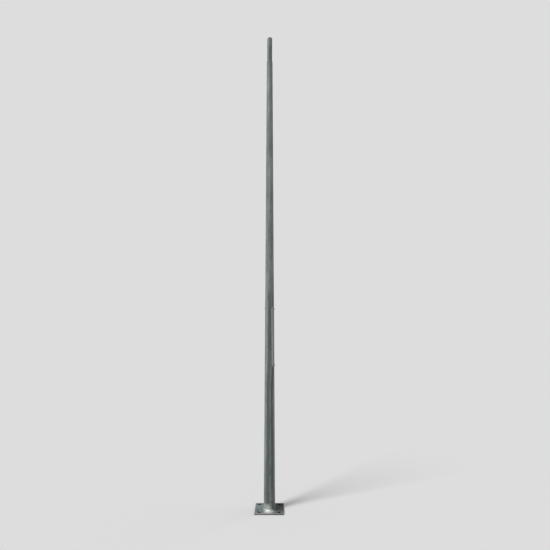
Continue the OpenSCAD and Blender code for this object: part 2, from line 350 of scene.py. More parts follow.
@dataclass(frozen=True)
class ZincFinish:
    """Hot-dip zinc: blotches, crystals, long streaks, dirt near the ground, darker bands of painted
    shade and painted reflection, and a painted highlight near the foot.
    """

    name: str
    dark: Triple
    light: Triple
    blotch: float = 0.5
    streak: float = 0.5
    crystal: float = 0.42
    metallic: float = 0.15
    roughness: float = 0.64
    specular: float = 0.22
    relief: float = 0.18
    grime: float = 0.25
    # share of the painted highlight near the foot
    painted_highlight: float = 0.0
    tint: Triple = (0.93, 1.0, 0.95)
    bands: tuple[DarkBand, ...] = ()

    def level(self, sheet: NodeSheet, place: Wire) -> tuple[Wire, Wire]:
        """Lays the pattern that every zinc surface shares.

        Args:
            sheet: the material's tree.
            place: the object position.

        Returns:
            The lightness from 0 to 1, and the crystal value about nought.
        """
        drawn = sheet.add("ShaderNodeMapping", inputs={"Vector": place, "Scale": (1, 1, 0.03)})
        long = sheet.add("ShaderNodeMapping", inputs={"Vector": place, "Scale": (1, 1, 0.3)})
        blotch = sheet.noise(long, 11.0, 4.0, 0.6) - 0.5
        streak = sheet.noise(drawn, 42.0, 3.0, 0.65) - 0.5
        cell = {"Vector": place, "Scale": 95.0}
        crystal_colour = sheet.add("ShaderNodeTexVoronoi", inputs=cell, output="Color")
        crystal = sheet.parts(crystal_colour)[0] - 0.5
        grain = sheet.noise(place, 420.0, 2.0) - 0.5
        level = 0.5 + blotch * (self.blotch * 2.2) + streak * (self.streak * 2.2)
        level = level + crystal * (self.crystal * 0.5) + grain * 0.12
        if self.bands:
            level = level - self.banding(sheet, place)
        return level.clamp(), crystal

    def banding(self, sheet: NodeSheet, place: Wire) -> Wire:
        """Sum of the darker bands, which fade out above the door, and the painted shade on the top of
        the shaft.

        Args:
            sheet: the material's tree.
            place: the object position.

        Returns:
            How much lightness they take away.
        """
        x, y, z = sheet.parts(place)
        bearing = sheet.math("ARCTAN2", y, x)
        sway = (z.ramp(*BAND_SHIFT) - 0.5) * 0.3
        ragged = sheet.noise(place, 6.0, 4.0, 0.6) - 0.5
        wander = sway + ragged * 0.4
        total: Operand = 0.0
        for band in self.bands:
            total = total + band.strength(sheet, bearing, wander)
        banded = total * (1.0 - z.ramp(*BAND_FADE) * 0.85) * (0.85 + ragged * 0.9)
        return banded + z.ramp(*SHADED_TOP) * 0.09

    def shade(self, sheet: NodeSheet, level: Wire, place: Wire) -> tuple[Wire, Wire]:
        """Turns the lightness into colour, with a cast, grime at the foot and a painted highlight near
        the foot.

        Args:
            sheet: the material's tree.
            level: the lightness from 0 to 1.
            place: the object position.

        Returns:
            The colour, and how dirty the surface is.
        """
        colour = sheet.blend(level, self.dark, self.light)
        cast = sheet.noise(place, 7.0, 2.0).ramp(0.35, 0.65)
        colour = sheet.blend(cast, colour, sheet.blend(1.0, colour, self.tint, "MULTIPLY"))
        height = sheet.parts(place)[2]
        patch = sheet.noise(place, 34.0, 4.0, 0.65).ramp(0.42, 0.7)
        dirt = (1.0 - height.ramp(0.0, 0.5)) * patch * self.grime
        colour = sheet.blend(dirt, colour, GRIME)
        # painted highlight near the foot
        if self.painted_highlight:
            colour = sheet.blend(self.gleam(sheet, place) * self.painted_highlight, colour, PAINTED_HIGHLIGHT_ZINC)
        return colour, dirt

    def gleam(self, sheet: NodeSheet, place: Wire) -> Wire:
        """How much of the painted highlight shows, from 0 to 1."""
        ragged = sheet.noise(place, 45.0, 3.0) - 0.5
        total: Operand = 0.0
        for patch in HIGHLIGHT_PATCHES:
            total = total + patch.strength(sheet, place, ragged)
        return total.clamp()

    def build(self) -> bpy.types.Material:
        """Makes the material."""
        material = bpy.data.materials.new(self.name)
        material.use_nodes = True
        sheet = NodeSheet(material.node_tree)
        shader = material.node_tree.nodes["Principled BSDF"]
        place = sheet.add("ShaderNodeTexCoord", output="Object")
        level, crystal = self.level(sheet, place)
        colour, dirt = self.shade(sheet, level, place)
        rough = (self.roughness + crystal * 0.12 + (0.5 - level) * 0.16 + dirt * 0.3).clamp(0.1, 0.95)
        height = crystal * 0.5 + sheet.noise(place, 240.0, 3.0) + sheet.noise(place, 26.0, 2.0) * 2.0
        bump = {"Strength": self.relief, "Distance": 0.4 * MM, "Height": height}
        normal = sheet.add("ShaderNodeBump", inputs=bump)
        sheet.tree.links.new(colour.socket, shader.inputs["Base Color"])
        sheet.tree.links.new(rough.socket, shader.inputs["Roughness"])
        sheet.tree.links.new(normal.socket, shader.inputs["Normal"])
        shader.inputs["Metallic"].default_value = self.metallic
        shader.inputs["Specular IOR Level"].default_value = self.specular
        return material


@dataclass(frozen=True)
class FootFinish(ZincFinish):
    """Zinc of the base plate and the welds, with a painted shadow right of and behind the shaft and
    painted shade on the plate's edges.
    """

    # strength of the painted shadow right of and behind the shaft
    painted_shadow: float = 0.0
    # colour of the plate's sides and underside: painted shade
    edge: Triple = (0.055, 0.051, 0.045)
    # colour of the paler strip along the plate's front edge
    paler: Triple = (0.46, 0.455, 0.43)

    def shade(self, sheet: NodeSheet, level: Wire, place: Wire) -> tuple[Wire, Wire]:
        """Adds a paler front strip, the painted shadow and the painted shade on edges and hole walls to
        the shared colour.

        Args:
            sheet: the material's tree.
            level: the lightness from 0 to 1.
            place: the object position.

        Returns:
            The colour, and how dirty the surface is.
        """
        colour, dirt = super().shade(sheet, level, place)
        x, y, z = sheet.parts(place)
        ragged = (sheet.noise(place, 22.0, 3.0) - 0.5) * (60 * MM)
        # paler strip along the plate's front edge, strongest in front of the foot
        front = 1.0 - (y + ragged * 0.12).ramp(-147 * MM, -124 * MM)
        middle = (0.85 - sheet.math("ABSOLUTE", x + 20 * MM) * 4.5).clamp(0.15, 0.9)
        colour = sheet.blend(front * middle, colour, self.paler)
        # painted shadow of the shaft on the plate and its weld, to its right and behind it, lighter at
        # the front
        right = (x + ragged).ramp(0.0, 90 * MM) * (1.0 - front * 0.55)
        back = (y + ragged).ramp(-110 * MM, -20 * MM)
        shadowed = right * (0.45 + back * 0.55) * self.painted_shadow
        colour = sheet.blend(shadowed, colour, PAINTED_SHADOW_ZINC)
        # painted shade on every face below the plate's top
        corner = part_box("base_plate")[1]
        below = 1.0 - z.ramp(corner.z - 1.4 * MM, corner.z - 0.2 * MM)
        colour = sheet.blend(below * 0.9, colour, self.edge)
        # near black on the walls of the slots and cable hole and on the underside: painted shade
        inner = corner.x - 8 * MM
        within = (sheet.math("ABSOLUTE", x) < inner) * (sheet.math("ABSOLUTE", y) < inner)
        slot_wall = (1.0 - z.ramp(corner.z - 2.0 * MM, corner.z + 0.2 * MM)) * within
        return sheet.blend(slot_wall, colour, SLOT_SHADE), dirt


@dataclass(frozen=True)
class FrameFinish(ZincFinish):
    """Zinc of the door frame: like the shaft's, with a painted highlight on its outer lip."""

    # colour of the painted highlight on the lip
    lip: Triple = (0.41, 0.43, 0.395)

    def shade(self, sheet: NodeSheet, level: Wire, place: Wire) -> tuple[Wire, Wire]:
        """Adds the painted highlight on the lip to the shared colour.

        Args:
            sheet: the material's tree.
            level: the lightness from 0 to 1.
            place: the object position.

        Returns:
            The colour, and how dirty the surface is.
        """
        colour, dirt = super().shade(sheet, level, place)
        x, y, z = sheet.parts(place)
        # painted highlight along the frame's outer lip, broken up by noise
        out = (x * x + y * y) ** 0.5 - (CONE.foot_r - (z - CONE.foot_z) * CONE.taper)
        paler = sheet.noise(place, 60.0, 3.0).ramp(0.25, 0.5)
        return sheet.blend(out.ramp(1.0 * MM, 1.7 * MM) * (0.6 + paler * 0.4), colour, self.lip), dirt


# where the painted highlight lies: in front of the foot, and weaker up its left side
HIGHLIGHT_PATCHES = (
    HighlightPatch((-22 * MM, -88 * MM, 14 * MM), (105 * MM, 62 * MM, 95 * MM), 2.2),
    HighlightPatch((-50 * MM, -40 * MM, 40 * MM), (42 * MM, 55 * MM, 60 * MM), amount=0.3),
)
# darker bands of painted shade and painted reflection; those at 75 and 128 degrees repeat them round the
# back
SHAFT_BANDS = (
    DarkBand(-96.0, 19.0, 0.42),
    DarkBand(-51.0, 16.0, 0.26),
    DarkBand(-80.0, 62.0, 0.3),
    DarkBand(8.0, 24.0, 0.12),
    DarkBand(75.0, 17.0, 0.25),
    DarkBand(128.0, 22.0, 0.35),
    DarkBand(-168.0, 15.0, 0.3),
)
FINISHES: dict[Surface, ZincFinish] = {
    Surface.SHAFT: ZincFinish(
        "galvanised_shaft", (0.085, 0.098, 0.091), (0.30, 0.322, 0.308), painted_highlight=0.75, bands=SHAFT_BANDS
    ),
    Surface.PLATE: FootFinish(
        "galvanised_plate", (0.11, 0.128, 0.133), (0.30, 0.335, 0.345), streak=0.1, blotch=0.7,
        metallic=0.2, painted_highlight=0.9, painted_shadow=0.92,
    ),
    Surface.WELD: FootFinish(
        "zinc_over_weld", (0.17, 0.185, 0.18), (0.40, 0.42, 0.41), streak=0.0, metallic=0.3,
        roughness=0.48, specular=0.4, grime=0.1, painted_highlight=1.0, painted_shadow=0.9,
    ),
    Surface.DOOR: ZincFinish("galvanised_door", (0.10, 0.114, 0.106), (0.28, 0.30, 0.285)),
    Surface.FRAME: FrameFinish("galvanised_frame", (0.085, 0.098, 0.091), (0.24, 0.26, 0.245)),
    Surface.HINGE: ZincFinish("galvanised_hinge", (0.15, 0.165, 0.16), (0.36, 0.38, 0.37)),
    Surface.RAIL: ZincFinish(
        "clean_rail_zinc", (0.28, 0.30, 0.295), (0.48, 0.50, 0.495), streak=0.1, metallic=0.6,
        roughness=0.45,
    ),
    Surface.FIXING: ZincFinish(
        "plated_fixings", (0.22, 0.225, 0.215), (0.42, 0.42, 0.40), streak=0.0, blotch=0.3,
        crystal=0.05, metallic=0.8, roughness=0.38, relief=0.1,
    ),
}
MATERIALS: dict[Surface, bpy.types.Material] = {key: f.build() for key, f in FINISHES.items()}


# ---- mesh work

Bearinged = Union[float, Callable[[float], float]]
SAME_POINT = 2e-6
MERGE = 1e-5
WELD_CREASE = 60.0
EASE = 0.4 * MM
LEVEL_TILT = math.radians(0.4)
EDGE_TILT = math.radians(13)
LEVEL_AREA = 35 * MM * MM


def piece_from(
    mesh: Mesh, name: str, surface: Surface, crease: float
) -> bpy.types.Object:
    """Closes a mesh, points its faces outwards, shades it and makes it an object.

    Large level faces stay flat, so that the rounding round them doesn't bend their shading.

    Args:
        mesh: the shape, in place.
        name: the piece's name.
        surface: its finish.
        crease: edges sharper than this many degrees stay sharp.

    Returns:
        The object, at the origin.
    """
    work = bmesh.new()
    work.from_mesh(mesh)
    bmesh.ops.remove_doubles(work, verts=work.verts, dist=SAME_POINT)
    bmesh.ops.dissolve_degenerate(work, edges=work.edges, dist=1e-6)
    bmesh.ops.recalc_face_normals(work, faces=work.faces)
    smooth = []
    for face in work.faces:
        others = [f for edge in face.edges for f in edge.link_faces if f != face]
        tilts = [face.normal.angle(f.normal, 0.0) for f in others]
        level = all(tilt < LEVEL_TILT or tilt > EDGE_TILT for tilt in tilts)
        smooth.append(not (level and face.calc_area() > LEVEL_AREA))
        face.smooth = True
        face.material_index = 0
    work.to_mesh(mesh)
    work.free()
    mesh.materials.clear()
    mesh.materials.append(MATERIALS[surface])
    mesh.set_sharp_from_angle(angle=math.radians(crease))
    mesh.polygons.foreach_set("use_smooth", smooth)
    mesh.name = name
    piece = bpy.data.objects.new(name, mesh)
    bpy.context.scene.collection.objects.link(piece)
    return piece


def settle(
    mesh: Mesh,
    name: str,
    surface: Surface,
    *nodes: str,
    body: Body = Body.POLE,
    crease: float = 30.0,
) -> None:
    """Makes a piece of a shape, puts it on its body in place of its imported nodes, and reports it.

    Args:
        mesh: the shape, in place.
        name: the piece's name.
        surface: its finish and material slot.
        nodes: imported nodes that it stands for.
        body: what it moves with.
        crease: edges sharper than this many degrees stay sharp.
    """
    piece = piece_from(mesh, name, surface, crease)
    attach(piece, body.value)
    if nodes:
        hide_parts(*nodes)
    LOG.info("%s: %d faces, on %s", piece.name, len(piece.data.polygons), body.value)


def mesh_of(points: Sequence[Vector], faces: Sequence[Sequence[int]]) -> Mesh:
    """Makes a mesh of points and faces."""
    mesh = bpy.data.meshes.new("shape")
    mesh.from_pydata([tuple(p) for p in points], [], [list(f) for f in faces])
    return mesh


def ring_faces(rows: int, columns: int, rows_close: bool, columns_close: bool) -> list[tuple[int, ...]]:
    """Faces of a grid of points, row by row.

    Args:
        rows: number of rows.
        columns: points in each row.
        rows_close: whether the last row joins the first.
        columns_close: whether each row is a ring.

    Returns:
        Four corners a face.
    """
    faces = []
    for i in range(rows if rows_close else rows - 1):
        for j in range(columns if columns_close else columns - 1):
            a, b = i * columns, ((i + 1) % rows) * columns
            k = (j + 1) % columns
            faces.append((a + j, a + k, b + k, b + j))
    return faces


def stacked_rings(rings: Sequence[Sequence[Vector]]) -> Mesh:
    """Closed shape of rings of like count, with a fan over each end.

    Args:
        rings: the rings, in order.

    Returns:
        The mesh.
    """
    count = len(rings[0])
    points = [p for ring in rings for p in ring]
    faces = ring_faces(len(rings), count, False, True)
    for start, ring in ((0, rings[0]), (len(points) - count, rings[-1])):
        middle = len(points)
        points.append(sum((Vector(p) for p in ring), Vector()) / count)
        faces += [(start + j, start + (j + 1) % count, middle) for j in range(count)]
    return mesh_of(points, faces)


def ring_about_x(x: Bearinged, radius: Bearinged, z: float, steps: int = 48) -> list[Vector]:
    """Ring about a line along X.

    Args:
        x: place along X, or its function of the bearing.
        radius: the radius, or its function of the bearing.
        z: height of the line.
        steps: points in the ring.

    Returns:
        The points.
    """
    points = []
    for k in range(steps):
        bearing = TAU * k / steps
        along, away = (v(bearing) if callable(v) else v for v in (x, radius))
        points.append(Vector((along, away * math.cos(bearing), z + away * math.sin(bearing))))
    return points


def joined(meshes: Iterable[Mesh]) -> Mesh:
    """Several closed shapes as one mesh."""
    work = bmesh.new()
    for mesh in meshes:
        work.from_mesh(mesh)
    whole = bpy.data.meshes.new("shape")
    work.to_mesh(whole)
    work.free()
    return whole


def eased_copy(node: str, width: float) -> Mesh:
    """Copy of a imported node's mesh, merged, with its sharp edges rounded.

    Args:
        node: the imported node.
        width: width of the rounding.

    Returns:
        The mesh.
    """
    packed = frame["nodes"][node].data
    mesh = mesh_of([v.co for v in packed.vertices], [face.vertices for face in packed.polygons])
    work = bmesh.new()
    work.from_mesh(mesh)
    bmesh.ops.remove_doubles(work, verts=work.verts, dist=SAME_POINT)
    bmesh.ops.dissolve_limit(work, angle_limit=math.radians(0.4), verts=work.verts, edges=work.edges)
    work.to_mesh(mesh)
    work.free()
    helper = bpy.data.objects.new("rounding", mesh)
    bpy.context.scene.collection.objects.link(helper)
    rounding = helper.modifiers.new("rounding", "BEVEL")
    rounding.width = width
    rounding.segments = 2
    rounding.limit_method = "ANGLE"
    rounding.angle_limit = math.radians(40)
    return baked(helper)


def baked(helper: bpy.types.Object) -> Mesh:
    """Result of a helper object's modifiers as a plain mesh; the helper is removed."""
    depsgraph = bpy.context.evaluated_depsgraph_get()
    ready = helper.evaluated_get(depsgraph)
    mesh = bpy.data.meshes.new_from_object(ready, preserve_all_data_layers=True, depsgraph=depsgraph)
    helper.modifiers.clear()
    bpy.data.objects.remove(helper)
    return mesh


class ShapeTree:
    """A Geometry Nodes tree with named inputs that makes one kind of shape."""

    def __init__(self, name: str, sizes: Iterable[str], counts: Iterable[str] = ()) -> None:
        """Args:
            name: the tree's name.
            sizes: names of its number inputs.
            counts: names of its whole-number inputs.
        """
        self.group = bpy.data.node_groups.new(name, "GeometryNodeTree")
        self.sheet = NodeSheet(self.group)
        self.keys: dict[str, str] = {}
        kinds = [("Start", "Geometry"), *((s, "Float") for s in sizes)]
        kinds += [*((c, "Int") for c in counts), ("Finish", "Material")]
        for label, kind in kinds:
            socket = self.group.interface.new_socket(
                label, in_out="INPUT", socket_type=f"NodeSocket{kind}"
            )
            self.keys[label] = socket.identifier
        self.group.interface.new_socket(
            "Shape", in_out="OUTPUT", socket_type="NodeSocketGeometry"
        )
        self.entry = self.group.nodes.new("NodeGroupInput")

    def given(self, label: str) -> Wire:
        """The named input."""
        return Wire(self.sheet, self.entry.outputs[label])

    def close(self, shape: Wire) -> "ShapeTree":
        """Ends the tree in realised geometry with its material.

        Args:
            shape: the finished geometry.

        Returns:
            The tree itself.
        """
        real = self.sheet.add("GeometryNodeRealizeInstances", inputs={"Geometry": shape})
        dressed = {"Geometry": real, "Material": self.given("Finish")}
        result = self.sheet.add("GeometryNodeSetMaterial", inputs=dressed)
        leave = self.group.nodes.new("NodeGroupOutput")
        self.group.links.new(result.socket, leave.inputs[0])
        return self

    def run(
        self,
        surface: Surface,
        sizes: Mapping[str, float],
        start: Optional[Mesh] = None,
    ) -> Mesh:
        """Runs the tree once.

        Args:
            surface: the finish it sets.
            sizes: a value for each input.
            start: the mesh that it starts from, where it needs one.

        Returns:
            The shape as a plain mesh.
        """
        helper = bpy.data.objects.new("shaping", start or bpy.data.meshes.new("start"))
        bpy.context.scene.collection.objects.link(helper)
        modifier = helper.modifiers.new("shaping", "NODES")
        modifier.node_group = self.group
        for label, value in sizes.items():
            modifier[self.keys[label]] = value
        modifier[self.keys["Finish"]] = MATERIALS[surface]
        return baked(helper)


def polar(sheet: NodeSheet, angle: Wire, radius: Operand, height: Operand) -> Wire:
    """Point at a bearing, a radius and a height."""
    return sheet.vector(
        sheet.math("COSINE", angle) * radius, sheet.math("SINE", angle) * radius, height
    )


def wrapped_grid(
    tree: ShapeTree, columns: Operand, rows: Operand, place: Callable[[Wire, Wire], Wire]
) -> Wire:
    """Lays a unit grid over a shape.

    Args:
        tree: the tree to write in.
        columns: cells round the shape.
        rows: cells along it.
        place: gives the point for a bearing in radians and a row number.

    Returns:
        The merged geometry.
    """
    sheet = tree.sheet
    counts = {"Size X": 1.0, "Size Y": 1.0, "Vertices X": columns + 1, "Vertices Y": rows + 1}
    grid = sheet.add("GeometryNodeMeshGrid", inputs=counts)
    across, along, _ = sheet.parts(sheet.add("GeometryNodeInputPosition"))
    bearing = sheet.math("ROUND", (across + 0.5) * columns) / columns * TAU
    row = sheet.math("ROUND", (along + 0.5) * rows)
    moved = {"Geometry": grid, "Position": place(bearing, row)}
    shape = sheet.add("GeometryNodeSetPosition", inputs=moved)
    return sheet.add("GeometryNodeMergeByDistance", inputs={"Geometry": shape, "Distance": MERGE})


def tube_tree() -> ShapeTree:
    """Round tube that tapers evenly, with eased ends and a slight waviness of its wall.

    Returns:
        The tree.
    """
    sizes = ["Foot Radius", "Top Radius", "Foot Height", "Length", "Wall", "Ease", "Waviness"]
    tree = ShapeTree("tapered_tube", sizes, ["Sides", "Rings"])
    sheet, rings = tree.sheet, tree.given("Rings")
    length, ease, wall = tree.given("Length"), tree.given("Ease"), tree.given("Wall")

    def place(bearing: Wire, row: Wire) -> Wire:
        """Point of the wall: rows run up the outside and down the inside."""
        turn = sheet.math("MODULO", row, rings * 2)
        inner = turn > rings - 0.5
        rise = inner * (1.0 - (turn - rings) / (rings - 1)) + (1.0 - inner) * turn / (rings - 1)
        step, share = 1.0 / (rings - 1), ease / length
        spread = ((rise - step) * (1.0 - 2.0 * share) / (1.0 - 2.0 * step) + share).clamp()
        end = 1.0 - (spread > 1e-6) * (spread < 1.0 - 1e-6)
        change = tree.given("Top Radius") - tree.given("Foot Radius")
        radius = tree.given("Foot Radius") + change * spread - wall * inner
        radius = radius + end * ease * (inner * 2.0 - 1.0)
        height = tree.given("Foot Height") + spread * length
        swell = sheet.noise(polar(sheet, bearing, 1.0, height * 5.0), 1.3) - 0.5
        radius = radius + swell * tree.given("Waviness") * (1.0 - inner)
        return polar(sheet, bearing, radius, height)

    return tree.close(wrapped_grid(tree, tree.given("Sides"), rings * 2, place))


def doorway_tree() -> ShapeTree:
    """Cuts a rounded doorway through the +X side of whatever it starts from.

    Returns:
        The tree.
    """
    sizes = ["Width", "Height", "Corner", "Middle", "Reach"]
    tree = ShapeTree("cut_doorway", sizes)
    sheet, reach = tree.sheet, tree.given("Reach")
    outline = {"Width": tree.given("Width"), "Height": tree.given("Height")}
    curve = sheet.add("GeometryNodeCurvePrimitiveQuadrilateral", inputs=outline)
    bend = {"Curve": curve, "Count": 10, "Radius": tree.given("Corner")}
    curve = sheet.add("GeometryNodeFilletCurve", {"mode": "POLY"}, bend)
    flat = sheet.add("GeometryNodeFillCurve", {"mode": "NGONS"}, {"Curve": curve})
    raised = sheet.add("GeometryNodeExtrudeMesh", inputs={"Mesh": flat, "Offset Scale": reach})
    under = sheet.add("GeometryNodeFlipFaces", inputs={"Mesh": flat})
    block = sheet.add("GeometryNodeJoinGeometry", inputs={"Geometry": [raised, under]})
    block = sheet.add("GeometryNodeMergeByDistance", inputs={"Geometry": block, "Distance": MERGE})
    turn = {
        "Geometry": block,
        "Rotation": (math.pi / 2, 0.0, math.pi / 2),
        "Translation": sheet.vector(0.0, 0.0, tree.given("Middle")),
    }
    block = sheet.add("GeometryNodeTransform", inputs=turn)
    settings = {"operation": "DIFFERENCE", "solver": "EXACT"}
    cut = {"Mesh 1": tree.given("Start"), "Mesh 2": block}
    return tree.close(sheet.add("GeometryNodeMeshBoolean", settings, cut))


def fillet_tree() -> ShapeTree:
    """Rippled fillet weld round a tube.

    Returns:
        The tree.
    """
    sizes = ["Radius", "Height", "Out", "Up", "Bulge", "Ripple", "Uneven"]
    tree = ShapeTree("rippled_fillet", sizes, ["Ripples", "Steps", "Rows"])
    sheet, rows, ripples = tree.sheet, tree.given("Rows"), tree.given("Ripples")

    def place(bearing: Wire, row: Wire) -> Wire:
        """Point of the weld: rows run from its top to its toe, then through the corner."""
        share = (row / rows).clamp()
        face = (row < rows + 0.5) + (row > rows + 1.5)
        share = share * (row < rows + 1.5)
        hump = sheet.math("SINE", share * math.pi)
        lag = (share - 0.45) * (share - 0.45) * 5.0
        wave = 0.5 + 0.5 * sheet.math("COSINE", bearing * ripples - lag * TAU)
        wander = sheet.noise(polar(sheet, bearing, 1.0, share * 0.3), 4.0, 3.0) - 0.5
        swell = hump * (tree.given("Bulge") + wave * tree.given("Ripple"))
        reach = 1.0 + wander * tree.given("Uneven")
        out = (share * tree.given("Out") * reach + swell) * face - 0.4 * MM * (1.0 - face)
        up = ((1.0 - share) * tree.given("Up") * reach + swell) * face - 0.4 * MM * (1.0 - face)
        return polar(sheet, bearing, tree.given("Radius") + out, tree.given("Height") + up)

    columns = ripples * tree.given("Steps")
    return tree.close(wrapped_grid(tree, columns, rows + 2, place))


def thread_tree() -> ShapeTree:
    """Threaded rod along Z, from nought up.

    Returns:
        The tree.
    """
    tree = ShapeTree("threaded_rod", ["Radius", "Depth", "Pitch", "Length"], ["Rows", "Sides"])
    sheet, rows = tree.sheet, tree.given("Rows")

    def place(bearing: Wire, row: Wire) -> Wire:
        """Point of the thread: the first and last rows close its ends."""
        height = ((row - 1.0) / (rows - 2.0)).clamp() * tree.given("Length")
        open_row = (row > 0.5) * (row < rows - 0.5)
        groove = sheet.math("PINGPONG", height / tree.given("Pitch") - bearing / TAU + 50.0, 0.5)
        radius = tree.given("Radius") - groove * 2.0 * tree.given("Depth")
        return polar(sheet, bearing, radius * open_row, height)

    return tree.close(wrapped_grid(tree, tree.given("Sides"), rows, place))


def bead_tree() -> ShapeTree:
    """Weld bead along the edges of whatever it starts from.

    Returns:
        The tree.
    """
    tree = ShapeTree("weld_bead", ["Radius", "Pitch", "Ripple"])
    sheet, pitch = tree.sheet, tree.given("Pitch")
    path = sheet.add("GeometryNodeMeshToCurve", inputs={"Mesh": tree.given("Start")})
    spaced = {"Curve": path, "Length": pitch / 4}
    path = sheet.add("GeometryNodeResampleCurve", {"mode": "LENGTH"}, spaced)
    travel = sheet.add("GeometryNodeSplineParameter", output="Length")
    ring = sheet.math("ABSOLUTE", sheet.math("SINE", travel * math.pi / pitch))
    place = sheet.add("GeometryNodeInputPosition")
    wander = sheet.noise(place, 90.0) - 0.5
    girth = tree.given("Radius") * (1.0 + ring * tree.given("Ripple") + wander * 0.25)
    profile = sheet.add("GeometryNodeCurvePrimitiveCircle", inputs={"Resolution": 10, "Radius": 1.0})
    sweep = {"Curve": path, "Profile Curve": profile, "Scale": girth, "Fill Caps": True}
    return tree.close(sheet.add("GeometryNodeCurveToMesh", inputs=sweep))


def nub_tree() -> ShapeTree:
    """Small drawn-out zinc beads over the outside of whatever it starts from.

    Returns:
        The tree.
    """
    tree = ShapeTree("zinc_nubs", ["Density", "Smallest", "Largest", "Stretch"], ["Seed"])
    sheet = tree.sheet
    sense = sheet.add("GeometryNodeInputNormal")
    place = sheet.add("GeometryNodeInputPosition")
    facing = sheet.add(
        "ShaderNodeVectorMath", {"operation": "DOT_PRODUCT"}, {0: sense, 1: place}, "Value"
    )
    spread = {
        "Mesh": tree.given("Start"),
        "Selection": facing > 0.02,
        "Density": tree.given("Density"),
        "Seed": tree.given("Seed"),
    }
    points = sheet.add("GeometryNodeDistributePointsOnFaces", inputs=spread)
    limits = {2: tree.given("Smallest"), 3: tree.given("Largest"), "Seed": tree.given("Seed")}
    size = sheet.add("FunctionNodeRandomValue", {"data_type": "FLOAT"}, limits, 1)
    nub = sheet.add("GeometryNodeMeshUVSphere", inputs={"Segments": 8, "Rings": 5, "Radius": 1.0})
    placed = {
        "Points": points,
        "Instance": nub,
        "Scale": sheet.vector(size, size, size * tree.given("Stretch")),
    }
    return tree.close(sheet.add("GeometryNodeInstanceOnPoints", inputs=placed))


TUBE = tube_tree()
DOORWAY = doorway_tree()
FILLET = fillet_tree()
THREAD = thread_tree()
BEAD = bead_tree()
NUBS = nub_tree()


def bead_along(
    points: Sequence[Vector], closed: bool, radius: float, pitch: float, ripple: float
) -> Mesh:
    """Weld bead along a line of points.

    Args:
        points: the line.
        closed: whether it comes back to its start.
        radius: the bead's radius.
        pitch: distance between its ripples.
        ripple: their height, as a share of the radius.

    Returns:
        The mesh.
    """
    line = bpy.data.meshes.new("line")
    edges = [(i, i + 1) for i in range(len(points) - 1)]
    if closed:
        edges.append((len(points) - 1, 0))
    line.from_pydata([tuple(p) for p in points], edges, [])
    return BEAD.run(Surface.WELD, {"Radius": radius, "Pitch": pitch, "Ripple": ripple}, line)


def thread_along_x(start: float, end: float, z: float, radius: float, pitch: float) -> Mesh:
    """Threaded rod along X, in the plane of symmetry.

    Args:
        start: X of its first end.
        end: X of its other end.
        z: its height.
        radius: outer radius.
        pitch: pitch of the thread.

    Returns:
        The mesh.
    """
    length = end - start
    rows = int(length / pitch * 6) + 3
    sizes = {"Radius": radius, "Depth": 0.6 * pitch, "Pitch": pitch, "Length": length}
    mesh = THREAD.run(Surface.FIXING, {**sizes, "Rows": rows, "Sides": 20})
    mesh.transform(Matrix.Translation((start, 0, z)) @ Matrix.Rotation(math.pi / 2, 4, "Y"))
    return mesh


# ---- frame facts


@dataclass(frozen=True)
class EdgePoint:
    """A point of an outline and the way out of it."""

    y: float
    z: float
    out_y: float
    out_z: float

    def grown(self, by: float) -> tuple[float, float]:
        """The point moved outwards."""
        return self.y + self.out_y * by, self.z + self.out_z * by


def rounded_outline(
    width: float, height: float, radius: float, middle: float, step: float
) -> list[EdgePoint]:
    """Upright rectangle with round corners.

    Args:
        width: width along Y.
        height: height along Z.
        radius: radius of the corners.
        middle: height of its middle.
        step: longest distance between points on its sides.

    Returns:
        Its points, once round.
    """
    outline: list[EdgePoint] = []
    corners = [(1, 1), (-1, 1), (-1, -1), (1, -1)]
    for k, (sy, sz) in enumerate(corners):
        cy, cz = sy * (width / 2 - radius), middle + sz * (height / 2 - radius)
        for i in range(9):
            a = math.pi / 2 * (k + i / 8)
            out = (math.cos(a), math.sin(a))
            outline.append(EdgePoint(cy + radius * out[0], cz + radius * out[1], *out))
        side = height - 2 * radius if k % 2 else width - 2 * radius
        along = (-out[1], out[0])
        parts = max(int(side / step), 1)
        last = outline[-1]
        for i in range(1, parts):
            travel = side * i / parts
            outline.append(EdgePoint(last.y + along[0] * travel, last.z + along[1] * travel, *out))
    return outline


def mount(name: str) -> Mapping[str, Any]:
    """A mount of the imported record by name."""
    return next(m for m in frame["record"]["mounts"] if m["name"] == name)


# ---- sub-assemblies


@dataclass(frozen=True)
class FilletWeld:
    """Rippled fillet weld round a tube."""

    bulge: float
    ripple: float
    uneven: float
    rows: int
    ripples: int = 96

    def build(self, node: str, radius: float, height: float, out: float, up: float) -> None:
        """Makes and places the weld.

        Args:
            node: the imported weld.
            radius: radius of the tube.
            height: height of the corner that it fills.
            out: how far it reaches outwards.
            up: how far it reaches upwards.
        """
        sizes = {
            "Radius": radius,
            "Height": height,
            "Out": out,
            "Up": up,
            "Bulge": self.bulge,
            "Ripple": self.ripple,
            "Uneven": self.uneven,
            "Ripples": self.ripples,
            "Steps": 8,
            "Rows": self.rows,
        }
        weld = FILLET.run(Surface.WELD, sizes)
        settle(weld, node + "_rippled", Surface.WELD, node, crease=WELD_CREASE)


@dataclass(frozen=True)
class RoundTube:
    """Open round tube with eased ends and a slightly wavy wall."""

    wall: float
    ease: float
    waviness: float
    sides: int
    rings: int

    def shape(self, foot_r: float, top_r: float, low: float, high: float) -> Mesh:
        """Makes the tube.

        Args:
            foot_r: outer radius at its foot.
            top_r: outer radius at its top.
            low: height of its foot.
            high: height of its top.

        Returns:
            The mesh.
        """
        sizes = {
            "Foot Radius": foot_r,
            "Top Radius": top_r,
            "Foot Height": low,
            "Length": high - low,
            "Wall": self.wall,
            "Ease": self.ease,
            "Waviness": self.waviness,
            "Sides": self.sides,
            "Rings": self.rings,
        }
        return TUBE.run(Surface.SHAFT, sizes)


